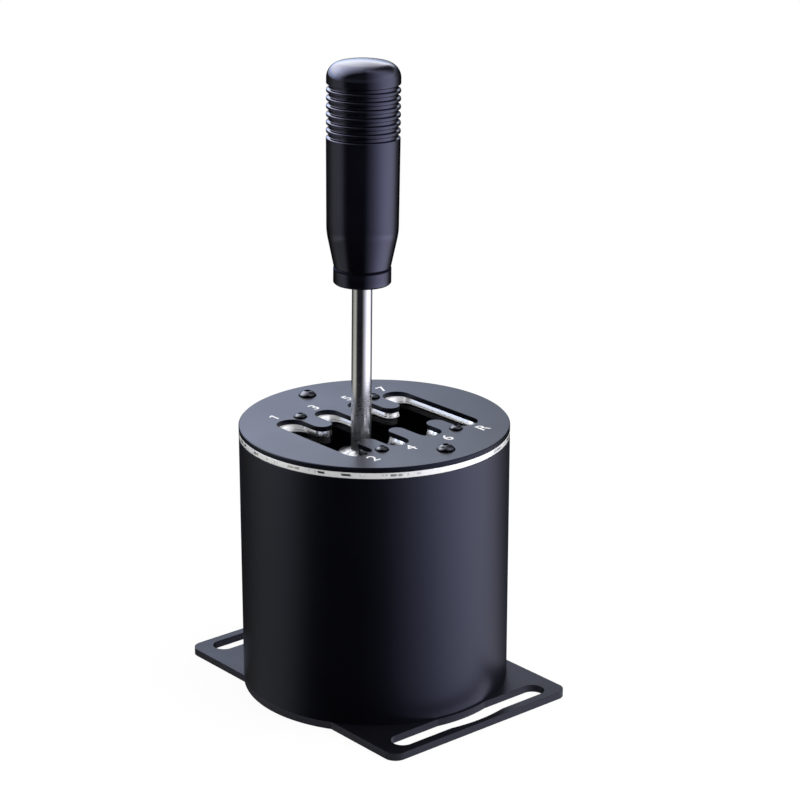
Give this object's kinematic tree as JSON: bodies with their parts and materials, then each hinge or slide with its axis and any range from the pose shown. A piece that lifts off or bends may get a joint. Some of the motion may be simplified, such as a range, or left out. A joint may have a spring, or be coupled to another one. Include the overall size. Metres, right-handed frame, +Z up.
{
  "type": "gear shifter",
  "caption": "Sim racing gear lever: a ridged knob on a steel rod that moves through a comb-shaped H gate on top of a round housing, on a flat base plate with mounting slots.",
  "frame": {"origin": "middle of the base plate's underside, on the housing's axis", "axes": "+Z up, +Y ahead of the driver (towards gears 1, 3, 5 and 7), +X to the driver's right (towards gear 7 and reverse)"},
  "size_m": [0.108, 0.133, 0.2562],
  "materials": {
    "black_plate": "satin black coating on steel",
    "black_tube": "matte black anodised",
    "gate_black": "satin black anodised",
    "polished_steel": "polished",
    "rod_steel": "ground and polished",
    "turned_steel": "turned",
    "black_steel": "black oxide",
    "black_polymer": "matte black acetal",
    "white_polymer": "natural acetal",
    "knob_black": "gloss black",
    "bracket_metal": "milled",
    "bronze": "sintered bronze",
    "brass": "turned brass",
    "spring_steel": "drawn wire",
    "board": "green solder mask",
    "chip": "moulded"
  },
  "bodies": {
    "housing": {"base_plate": "black_plate", "base_screws": "black_steel", "housing_tube": "black_tube", "support_posts": "bracket_metal", "buffer_plate": "black_polymer", "gate_washers": "turned_steel", "wear_plate": "polished_steel", "gate_plate": "gate_black", "top_screws": "black_steel", "gate_screws": "black_steel", "gate_nuts": "turned_steel", "front_bracket": "bracket_metal", "rear_bracket": "bracket_metal", "select_bushes": "bronze", "select_sensor": "black_polymer", "spring_seats": "turned_steel", "left_centring_spring": "spring_steel", "right_centring_spring": "spring_steel", "circuit_board": "board", "board_spacers": "brass", "board_screws": "turned_steel", "processor_chip": "chip", "data_socket": "turned_steel"},
    "cradle": {"select_cradle": "bracket_metal", "select_pins": "turned_steel", "select_magnet": "turned_steel", "shift_bushes": "bronze", "shift_sensor": "black_polymer", "detent_spring": "spring_steel"},
    "plunger": {"detent_plunger": "white_polymer"},
    "lever": {"lever_hub": "turned_steel", "hub_set_screw": "black_steel", "shift_axle": "turned_steel", "shift_magnet": "turned_steel", "lever_rod": "rod_steel", "knob": "knob_black", "knob_insert": "brass"}
  },
  "joints": [
    {"name": "lane_select", "type": "hinge", "parent": "housing", "child": "cradle", "pos_m": [-0.00965, -0.002, 0.035], "axis": [0, 1, 0], "range_deg": [-14.5, 26], "stiffness_Nm_per_rad": 2, "deforming": ["left_centring_spring", "right_centring_spring"]},
    {"name": "gear_shift", "type": "hinge", "parent": "cradle", "child": "lever", "pos_m": [-0.00965, -0.002, 0.035], "axis": [-0.9999, 0, 0.0157], "range_deg": [-13, 13]},
    {"name": "detent_slide", "type": "slide", "parent": "cradle", "child": "plunger", "axis": [0.0157, 0, 0.9999], "range_m": [0, 0.0008], "stiffness_N_per_m": 2000, "springref_m": 0.003, "deforming": ["detent_spring"]}
  ]
}
